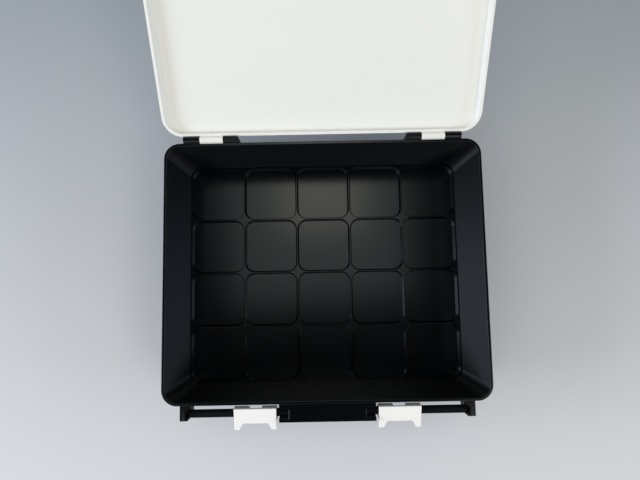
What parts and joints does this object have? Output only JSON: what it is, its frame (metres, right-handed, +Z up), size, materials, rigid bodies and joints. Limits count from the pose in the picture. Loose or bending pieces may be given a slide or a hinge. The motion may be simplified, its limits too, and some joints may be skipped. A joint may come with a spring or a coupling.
{
  "type": "hinged storage case",
  "caption": "Hinged-lid storage case: open black tub with a gridded bin floor, white tray lid on rear barrel hinges, and white pivoting latch levers on front rods.",
  "frame": {"origin": "centre of the tub's flat underside", "axes": "+Z up out of the open tub, +Y from the latch side to the hinge side, +X to the right when the latches face the viewer"},
  "size_m": [0.2178, 0.355, 0.1695],
  "materials": {
    "tub": "satin",
    "lid": "satin",
    "pin": "brushed",
    "rod": "satin",
    "lever": "satin"
  },
  "bodies": {
    "tub": {"tub": "tub", "hinge_pin_left": "pin", "hinge_pin_right": "pin", "latch_rod_left": "rod", "latch_rod_right": "rod"},
    "lid": {"lid": "lid"},
    "latch_lever_left": {"latch_lever_left": "lever"},
    "latch_lever_right": {"latch_lever_right": "lever"}
  },
  "joints": [
    {"name": "lid_hinge", "type": "hinge", "parent": "tub", "child": "lid", "pos_m": [0, 0.0902, 0.0644], "axis": [1, 0, 0], "range_deg": [0, 150]},
    {"name": "lever_left_pivot", "type": "hinge", "parent": "tub", "child": "latch_lever_left", "pos_m": [-0.0479, -0.09477, 0.0566], "axis": [1, 0, 0], "range_deg": [0, 74]},
    {"name": "lever_right_pivot", "type": "hinge", "parent": "tub", "child": "latch_lever_right", "pos_m": [0.0479, -0.09477, 0.0566], "axis": [1, 0, 0], "range_deg": [0, 74]}
  ]
}
